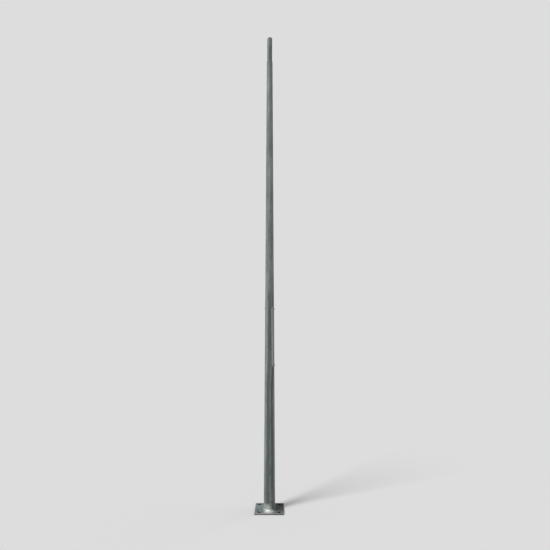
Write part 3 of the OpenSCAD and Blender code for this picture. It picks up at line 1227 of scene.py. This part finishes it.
@dataclass
class BasePlate:
    """Square slotted plate with the fillet weld round the foot of the shaft."""

    ease: float = 1.1 * MM
    corner: float = 2.0 * MM
    weld: FilletWeld = FilletWeld(1.3 * MM, 0.35 * MM, 0.22, 9)

    def hole_lines(self) -> list[list[EdgePoint]]:
        """Outlines of the cable hole and the four slots, in the plate's plane.

        Returns:
            Closed outlines whose way out points away from the metal.
        """
        slots, cable = mount("anchor_slots")["dims"], mount("cable_entry")["dims"]
        radius = slots["hole_r_mm"] * MM
        straight = (slots["slot_length_mm"] - 2 * slots["hole_r_mm"]) * MM
        hole = cable["r_mm"] * MM
        lines = [[self.rim_point((0, 0), TAU * k / 64, hole, 0.0, 0.0) for k in range(64)]]
        for k in range(4):
            bearing = math.pi / 4 + math.pi / 2 * k
            reach = slots["spacing_x_mm"] * MM / math.sqrt(2)
            centre = (reach * math.cos(bearing), reach * math.sin(bearing))
            lie = bearing + math.pi / 2
            arc = [TAU * (i + 0.5) / 32 for i in range(32)]
            lines.append([self.rim_point(centre, lie + a, radius, lie, straight) for a in arc])
        return lines

    def rim_point(
        self, centre: tuple[float, float], angle: float, radius: float, lie: float, straight: float
    ) -> EdgePoint:
        """Point of a round or slotted hole.

        Args:
            centre: the hole's centre.
            angle: bearing of the point.
            radius: half its width.
            lie: bearing that a slot runs along.
            straight: length of a slot's straight part.

        Returns:
            The point, whose way out points into the hole.
        """
        end = math.copysign(straight / 2, math.cos(angle - lie))
        x = centre[0] + end * math.cos(lie) + radius * math.cos(angle)
        y = centre[1] + end * math.sin(lie) + radius * math.sin(angle)
        return EdgePoint(x, y, -math.cos(angle), -math.sin(angle))

    def plate(self) -> Mesh:
        """Plate with eased edges, made of its rims and a flat top and bottom.

        Returns:
            The mesh.
        """
        low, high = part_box("base_plate")
        side = high.x - low.x
        lines = [rounded_outline(side, side, self.corner, 0.0, 0.03), *self.hole_lines()]
        e = self.ease
        steps = [(-e, high.z), (-0.3 * e, high.z - 0.3 * e), (0, high.z - e)]
        steps += [(0, low.z + e), (-0.3 * e, low.z + 0.3 * e), (-e, low.z)]
        work = bmesh.new()
        ends: dict[float, list[bmesh.types.BMEdge]] = {high.z: [], low.z: []}
        for line in lines:
            rings = [[work.verts.new((*p.grown(g), z)) for p in line] for g, z in steps]
            for a, b in zip(rings, rings[1:]):
                for j, k in enumerate([*range(1, len(a)), 0]):
                    work.faces.new((a[j], a[k], b[k], b[j]))
            for ring, z in ((rings[0], high.z), (rings[-1], low.z)):
                ends[z] += [work.edges.get(pair) for pair in zip(ring, ring[1:] + ring[:1])]
        for rim in ends.values():
            bmesh.ops.triangle_fill(work, edges=rim, use_beauty=True, use_dissolve=False)
        mesh = bpy.data.meshes.new("shape")
        work.to_mesh(mesh)
        work.free()
        return mesh

    def build(self) -> None:
        """Makes and places the plate and its weld."""
        settle(self.plate(), "base_plate_galvanised", Surface.PLATE, "base_plate")
        low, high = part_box("foot_weld")
        leg = (high.z - low.z) * 0.82
        self.weld.build("foot_weld", CONE.radius(low.z), low.z, leg, leg)


@dataclass
class TaperedShaft:
    """The conical tube from the plate to the spigot, with its seam and zinc nubs."""

    wall: RoundTube = RoundTube(4 * MM, 0.8 * MM, 0.5 * MM, 96, 170)
    seam_bearing: float = math.radians(135)
    seam_radius: float = 2.2 * MM
    seam_sunk: float = 1.6 * MM
    seam_pitch: float = 16 * MM
    nub_density: float = 130.0
    nub_sizes: tuple[float, float] = (0.3 * MM, 0.9 * MM)

    def tube(self) -> Mesh:
        """Tube with the doorway cut through it.

        Returns:
            The mesh.
        """
        ends = (CONE.foot_z, CONE.top_z)
        tube = self.wall.shape(*(CONE.radius(z) for z in ends), *ends)
        low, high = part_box("door_frame")
        cut = {
            "Width": high.y - low.y,
            "Height": high.z - low.z,
            "Corner": ServiceDoor.opening_corner + ServiceDoor.rim_width,
            "Middle": (low.z + high.z) / 2,
            "Reach": 2 * CONE.foot_r,
        }
        return DOORWAY.run(Surface.SHAFT, cut, tube)

    def seam(self) -> Mesh:
        """Bead of the lengthwise weld."""
        low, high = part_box("seam_weld")
        ends = [CONE.around(self.seam_bearing, z, -self.seam_sunk) for z in (low.z, high.z)]
        return bead_along(ends, False, self.seam_radius, self.seam_pitch, 0.05)

    def build(self) -> None:
        """Makes and places the tube, its seam and its nubs."""
        tube = self.tube()
        small, large = self.nub_sizes
        sizes = {"Density": self.nub_density, "Smallest": small, "Largest": large}
        nubs = NUBS.run(Surface.SHAFT, {**sizes, "Stretch": 3.0, "Seed": 4}, tube.copy())
        nodes = ("shaft_lower", "shaft_door_band", "shaft_upper")
        settle(tube, "tapered_shaft", Surface.SHAFT, *nodes)
        settle(self.seam(), "shaft_seam", Surface.SHAFT, "seam_weld", crease=WELD_CREASE)
        settle(nubs, "zinc_nubs", Surface.SHAFT, crease=WELD_CREASE)


@dataclass
class TopSpigot:
    """Plain tube that stands out of the shaft's top, with its weld."""

    wall: RoundTube = RoundTube(3 * MM, 0.9 * MM, 0.25 * MM, 80, 26)
    weld: FilletWeld = FilletWeld(0.3 * MM, 0.3 * MM, 0.2, 6)

    def build(self) -> None:
        """Makes and places the spigot and its weld."""
        low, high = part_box("spigot")
        pin = mount("spigot")["dims"]["r_mm"] * MM
        tube = self.wall.shape(pin, pin, low.z, high.z)
        settle(tube, "spigot_tube", Surface.SHAFT, "spigot")
        out = (CONE.radius(CONE.top_z) - pin) * 0.85
        up = (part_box("spigot_weld")[1].z - CONE.top_z) * 0.9
        self.weld.build("spigot_weld", pin, CONE.top_z, out, up)


@dataclass
class ServiceDoor:
    """Raised frame round the doorway, its cross bars, hinges, door and screws."""

    opening_corner: float = 18 * MM
    rim_width: float = 5 * MM
    gap: float = 2 * MM
    rim_ease: float = 0.8 * MM
    panel_ease: float = 0.6 * MM
    panel_thick: float = 3 * MM
    notch: float = 3 * MM
    rim_depth: float = 14 * MM
    outline_step: float = 9 * MM
    screw_head: float = 5 * MM
    screw_r: float = 4 * MM
    screw_pitch: float = 1.25 * MM
    recess_r: float = 4.5 * MM
    recess_depth: float = 3 * MM
    leaf_weld_reach: float = math.radians(9)
    leaf_weld_lift: float = 0.2 * MM

    def __post_init__(self) -> None:
        """Reads the doorway off the frame."""
        low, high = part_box("door_panel")
        self.low_z, self.high_z = low.z - self.gap, high.z + self.gap
        self.width = high.y - low.y + 2 * self.gap
        self.middle = (self.low_z + self.high_z) / 2
        self.hinges = [sum(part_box(f"fixed_leaf_{end}"), Vector()) / 2 for end in ("lower", "upper")]
        leaf_low, leaf_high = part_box("fixed_leaf_lower")
        self.hinge_half = (leaf_high.z - leaf_low.z) / 2
        self.rim_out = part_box("door_frame")[1].x - CONE.radius(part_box("door_frame")[0].z)

    def notched(self, y: float, z: float) -> float:
        """How far the rim stands out: nought where a hinge crosses it."""
        near = min(abs(z - h.z) for h in self.hinges)
        if y < 0:
            return self.rim_out
        share = (near - self.hinge_half - self.notch) / (2 * MM) + 1
        return self.rim_out * min(max(share, 0.0), 1.0)

    def outline(self) -> list[EdgePoint]:
        """Outline of the doorway."""
        tall = self.high_z - self.low_z
        return rounded_outline(self.width, tall, self.opening_corner, self.middle, self.outline_step)

    def rim(self) -> Mesh:
        """Frame swept round the doorway.

        Returns:
            The mesh.
        """
        back_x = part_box("door_frame")[0].x
        rows = []
        for point in self.outline():
            out, e = self.notched(point.y, point.z), self.rim_ease
            row = []
            for grown in (0.0, self.rim_width):
                y, z = point.grown(grown)
                inside = max((CONE.radius(z) - self.rim_depth) ** 2 - y * y, 0.0) ** 0.5
                row.append(Vector((max(inside, back_x), y, z)))
            stand = [(self.rim_width, out - e), (self.rim_width - e, out), (e, out), (0.0, out - e)]
            tops = [CONE.over(*point.grown(grown), lift) for grown, lift in stand]
            rows.append([row[0], row[1], *tops])
        return mesh_of([p for row in rows for p in row], ring_faces(len(rows), 6, True, True))

    def rim_weld(self) -> Mesh:
        """Bead between the frame and the shaft, all round."""
        beside = self.rim_width + 0.6 * MM
        line = [CONE.over(*p.grown(beside), -0.9 * MM) for p in self.outline()]
        return bead_along(line, True, 1.9 * MM, 5 * MM, 0.2)

    def panel(self) -> Mesh:
        """Curved plate that fills the frame.

        Returns:
            The mesh.
        """
        low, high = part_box("door_panel")
        half, radius = (high.y - low.y) / 2, self.opening_corner - self.gap
        out = high.x - CONE.radius(low.z)
        e = self.panel_ease
        heights = [low.z + radius * (1 - math.cos(math.pi / 2 * i / 8)) for i in range(8)]
        heights.insert(1, low.z + e)
        straight = high.z - low.z - 2 * radius
        heights += [low.z + radius + straight * i / 60 for i in range(61)]
        heights += [high.z - (h - low.z) for h in reversed(heights[:9])]
        shares = sorted({-1.0, -1 + e / half, *(k / 13 for k in range(-12, 13)), 1 - e / half, 1.0})
        front: list[Vector] = []
        back: list[Vector] = []
        for i, z in enumerate(heights):
            into = max(radius - (z - low.z), radius - (high.z - z), 0.0)
            reach = half - radius + math.sqrt(max(radius * radius - into * into, 0.0))
            for j, share in enumerate(shares):
                edge = i in (0, len(heights) - 1) or j in (0, len(shares) - 1)
                y = share * reach
                front.append(CONE.over(y, z, out - (e if edge else 0.0)))
                back.append(CONE.over(y, z, out - self.panel_thick))
        rows, columns = len(heights), len(shares)
        grid = ring_faces(rows, columns, False, False)
        count = rows * columns
        faces = grid + [tuple(count + k for k in reversed(face)) for face in grid]
        border = list(range(columns))
        border += [i * columns + columns - 1 for i in range(1, rows)]
        border += [(rows - 1) * columns + j for j in range(columns - 2, -1, -1)]
        border += [i * columns for i in range(rows - 2, 0, -1)]
        for a, b in zip(border, border[1:] + border[:1]):
            faces.append((b, a, count + a, count + b))
        return mesh_of(front + back, faces)

    def screw(self, end: str) -> Mesh:
        """Captive screw with a three-sided key recess.

        Args:
            end: which screw, lower or upper.

        Returns:
            The mesh.
        """
        low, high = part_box(f"door_screw_{end}")
        z, head_r = (low.z + high.z) / 2, (high.z - low.z) / 2
        top, seat = high.x, high.x - self.screw_head

        def key(bearing: float) -> float:
            """Radius of the three-sided recess at a bearing."""
            return self.recess_r * 0.5 / math.cos((bearing + math.pi / 2) % (TAU / 3) - TAU / 6)

        head = [
            (seat, head_r - 0.3 * MM),
            (seat + 0.3 * MM, head_r),
            (top - 1.1 * MM, head_r),
            (top - 0.35 * MM, head_r - 0.5 * MM),
            (top, head_r - 1.4 * MM),
            (top, key),
            (top - self.recess_depth, key),
        ]
        rings = [ring_about_x(x, radius, z) for x, radius in head]
        shank = thread_along_x(low.x, seat + 0.2 * MM, z, self.screw_r, self.screw_pitch)
        return joined([stacked_rings(rings), shank])

    def leaf_welds(self, end: str) -> Mesh:
        """Beads along the fixed leaf's far edge and the ends beside it.

        Args:
            end: which hinge, lower or upper.

        Returns:
            The mesh.
        """
        low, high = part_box(f"fixed_leaf_{end}")
        edge = math.atan2(math.sqrt(CONE.radius(low.z) ** 2 - low.x ** 2), low.x)
        near = edge - self.leaf_weld_reach
        places = [(near, low.z), (edge, low.z)]
        places += [(edge + 0.01, low.z + (high.z - low.z) * k / 6) for k in range(7)]
        places += [(edge, high.z), (near, high.z)]
        line = [CONE.around(bearing, z, self.leaf_weld_lift) for bearing, z in places]
        return bead_along(line, False, 1.8 * MM, 4.5 * MM, 0.25)

    def build(self) -> None:
        """Makes and places every piece of the door and its frame."""
        settle(self.rim(), "door_frame_rim", Surface.FRAME, "door_frame")
        settle(self.rim_weld(), "door_frame_weld", Surface.FRAME, crease=WELD_CREASE)
        panel = ("door_curved_plate", Surface.DOOR, "door_panel")
        settle(self.panel(), *panel, body=Body.DOOR, crease=40.0)
        for end in ("lower", "upper"):
            bar, fixed, moving = f"cross_bar_{end}", f"fixed_leaf_{end}", f"door_leaf_{end}"
            pin, screw = f"hinge_pin_{end}", f"door_screw_{end}"
            settle(eased_copy(bar, 0.5 * MM), bar + "_flat", Surface.SHAFT, bar)
            settle(eased_copy(fixed, EASE), fixed + "_galvanised", Surface.HINGE, fixed)
            settle(self.leaf_welds(end), fixed + "_weld", Surface.SHAFT, crease=WELD_CREASE)
            leaf = (moving + "_galvanised", Surface.HINGE, moving)
            settle(eased_copy(moving, EASE), *leaf, body=Body.DOOR)
            settle(eased_copy(pin, EASE), pin + "_turned", Surface.FIXING, pin)
            threaded = (screw + "_threaded", Surface.FIXING, screw)
            settle(self.screw(end), *threaded, body=Body.DOOR)


@dataclass
class InsideFittings:
    """What shows through the doorway: the equipment rail and the earth stud."""

    nut_chamfer: float = math.radians(30)
    thread_pitch: float = 1.25 * MM
    bolt_r: float = 4 * MM
    bolt_rise: float = 5 * MM
    mouth: float = 0.5 * MM

    def nut(self, node: str) -> Mesh:
        """Hexagon nut with chamfered corners, its faces across Z.

        Args:
            node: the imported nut.

        Returns:
            The mesh.
        """
        low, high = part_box(node)
        z, steps = (low.z + high.z) / 2, 72
        flat = min(high.y - low.y, high.z - low.z) / 2
        bore, crown = self.bolt_r + 0.05 * MM, flat * 0.97
        rings: list[list[Vector]] = []

        def hexagon(bearing: float) -> float:
            """Half-width of the hexagon at a bearing."""
            return flat / math.cos(bearing % (TAU / 6) - TAU / 12)

        def chamfer(bearing: float, end: float, way: int) -> float:
            """Place along X of the chamfer's foot at a bearing, on one end."""
            return end + way * (hexagon(bearing) - crown) * math.tan(self.nut_chamfer)

        for end, way in ((low.x, 1), (high.x, -1)):
            places = [(end + way * self.mouth, bore), (end, bore + self.mouth), (end, crown)]
            places.append((partial(chamfer, end=end, way=way), hexagon))
            rings += [ring_about_x(x, radius, z, steps) for x, radius in places[::way]]
        return mesh_of(sum(rings, []), ring_faces(len(rings), steps, True, True))

    def bolt(self) -> Mesh:
        """Round-headed bolt through the shaft's back wall.

        Returns:
            The mesh.
        """
        low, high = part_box("rail_bolt")
        z, head_r = (low.z + high.z) / 2, (high.z - low.z) / 2
        seat = -CONE.radius(z)
        arc = [math.pi / 2 * k / 10 for k in range(1, 11)]
        profile = [(low.x + self.bolt_rise * (1 - math.cos(a)) * 0.9, head_r * math.sin(a)) for a in arc]
        profile += [(seat - 0.1 * MM, head_r), (seat, head_r - 0.4 * MM), (seat + 1 * MM, self.bolt_r)]
        head = stacked_rings([ring_about_x(x, radius, 0.0) for x, radius in profile])
        head.transform(Matrix.Translation((0, 0, z)))
        return joined([head, thread_along_x(seat, high.x, z, self.bolt_r, self.thread_pitch)])

    def build(self) -> None:
        """Makes and places the fittings."""
        for node in ("equipment_rail", "rail_foot", "rail_spacer"):
            surface = Surface.SHAFT if node == "rail_foot" else Surface.RAIL
            settle(eased_copy(node, EASE), node + "_flat", surface, node)
        settle(self.bolt(), "rail_bolt_round_head", Surface.FIXING, "rail_bolt")
        for node in ("rail_nut", "earth_nut"):
            settle(self.nut(node), node + "_hexagon", Surface.FIXING, node)
        low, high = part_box("earth_stud")
        stud = thread_along_x(low.x, high.x, (low.z + high.z) / 2, self.bolt_r, self.thread_pitch)
        settle(stud, "earth_stud_threaded", Surface.FIXING, "earth_stud")


# ---- studio


# colour of the painted shade on the floor under the plate
SHADE_UNDER_PLATE = (0.03, 0.03, 0.03)


@dataclass(frozen=True)
class Lamp:
    """Even light from far off: strength, bearing left of the camera, height and spread in degrees."""

    name: str
    strength: float
    bearing: float
    height: float
    spread: float

    def way(self) -> Vector:
        """Direction towards the lamp."""
        bearing, height = math.radians(self.bearing), math.radians(self.height)
        flat = math.cos(height)
        return Vector((-math.sin(bearing) * flat, -math.cos(bearing) * flat, math.sin(height)))


@dataclass(frozen=True)
class Studio:
    """Pale floor, pale surroundings, two soft lamps and the camera."""

    paper: float = 0.723
    ambient: float = 0.41
    floor_shade: float = 0.738
    key: Lamp = Lamp("key", 2.5, 50.0, 38.0, 22.0)
    fill: Lamp = Lamp("fill", 0.55, -112.0, 28.0, 50.0)
    floor_half: float = 60.0
    fade_start: float = 1.2
    fade_end: float = 4.0
    camera_place: Triple = (0.1529, -4.9149, 1.7825)
    camera_yaw: float = 1.08
    camera_roll: float = 0.07
    camera_pitch: float = 8.13
    camera_lens: float = 28.777

    def seen(self, sheet: NodeSheet) -> Wire:
        """One for rays that show the surroundings: camera, glossy and transmission rays."""
        rays = sheet.add("ShaderNodeLightPath", output="Is Camera Ray")
        outputs = rays.socket.node.outputs
        glossy, through = (Wire(sheet, outputs[n]) for n in ("Is Glossy Ray", "Is Transmission Ray"))
        return (rays + glossy + through).clamp()

    def world(self) -> None:
        """Even surroundings, pale where they are seen."""
        world = bpy.data.worlds.new("studio")
        bpy.context.scene.world = world
        world.use_nodes = True
        sheet = NodeSheet(world.node_tree)
        strength = self.ambient + self.seen(sheet) * (self.paper - self.ambient)
        back = world.node_tree.nodes["Background"]
        back.inputs["Color"].default_value = (1, 1, 1, 1)
        sheet.tree.links.new(strength.socket, back.inputs["Strength"])

    def floor(self) -> None:
        """Plain floor that fades into the surroundings away from the pole, with painted shade under the
        plate.
        """
        h = self.floor_half
        corners = [Vector((x, y, -0.0005)) for x, y in ((-h, -h), (h, -h), (h, h), (-h, h))]
        plane = bpy.data.objects.new("floor", mesh_of(corners, [(0, 1, 2, 3)]))
        bpy.context.scene.collection.objects.link(plane)
        material = bpy.data.materials.new("plain_floor")
        material.use_nodes = True
        sheet = NodeSheet(material.node_tree)
        place = sheet.add("ShaderNodeTexCoord", output="Object")
        reach = sheet.add("ShaderNodeVectorMath", {"operation": "LENGTH"}, {0: place}, "Value")
        share = reach.ramp(self.fade_start, self.fade_end) * self.seen(sheet)
        under = sheet.add("ShaderNodeVectorMath", {"operation": "ABSOLUTE"}, {0: place})
        x, y, _ = sheet.parts(under)
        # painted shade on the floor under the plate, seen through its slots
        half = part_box("base_plate")[1].x - 3 * MM
        shaded_under_plate = (x < half) * (y < half)
        tone = sheet.blend(shaded_under_plate, (self.floor_shade,) * 3, SHADE_UNDER_PLATE)
        near = sheet.add("ShaderNodeBsdfDiffuse", inputs={"Color": tone})
        far = sheet.add("ShaderNodeEmission", inputs={"Color": (*(self.paper,) * 3, 1)})
        both = sheet.add("ShaderNodeMixShader", inputs={0: share, 1: near, 2: far})
        leave = next(n for n in sheet.tree.nodes if n.type == "OUTPUT_MATERIAL")
        sheet.tree.links.new(both.socket, leave.inputs["Surface"])
        plane.data.materials.append(material)

    def lamps(self) -> None:
        """Soft even light from the left in front, and a weak one from the right behind."""
        for lamp in (self.key, self.fill):
            light = bpy.data.lights.new(lamp.name, "SUN")
            light.energy = lamp.strength
            light.angle = math.radians(lamp.spread)
            holder = bpy.data.objects.new(lamp.name, light)
            holder.rotation_mode = "QUATERNION"
            holder.rotation_quaternion = lamp.way().to_track_quat("Z", "Y")
            bpy.context.scene.collection.objects.link(holder)

    def camera(self) -> None:
        """Camera at eye height in front of the pole."""
        view = bpy.data.objects.new("camera", bpy.data.cameras.new("camera"))
        view.data.lens = self.camera_lens
        view.location = self.camera_place
        turn = (90 + self.camera_pitch, self.camera_roll, self.camera_yaw)
        view.rotation_euler = [math.radians(v) for v in turn]
        bpy.context.scene.collection.objects.link(view)
        bpy.context.scene.camera = view

    def build(self) -> None:
        """Sets up the studio."""
        self.camera()
        self.world()
        self.floor()
        self.lamps()
        bpy.context.scene.view_settings.view_transform = "Standard"


def main() -> None:
    """Builds the studio and every sub-assembly in order."""
    logging.basicConfig(level=logging.INFO, format="%(message)s")
    Studio().build()
    for part in (BasePlate(), TaperedShaft(), TopSpigot(), ServiceDoor(), InsideFittings()):
        LOG.info("building %s", type(part).__name__)
        part.build()


if __name__ == "__main__":
    main()
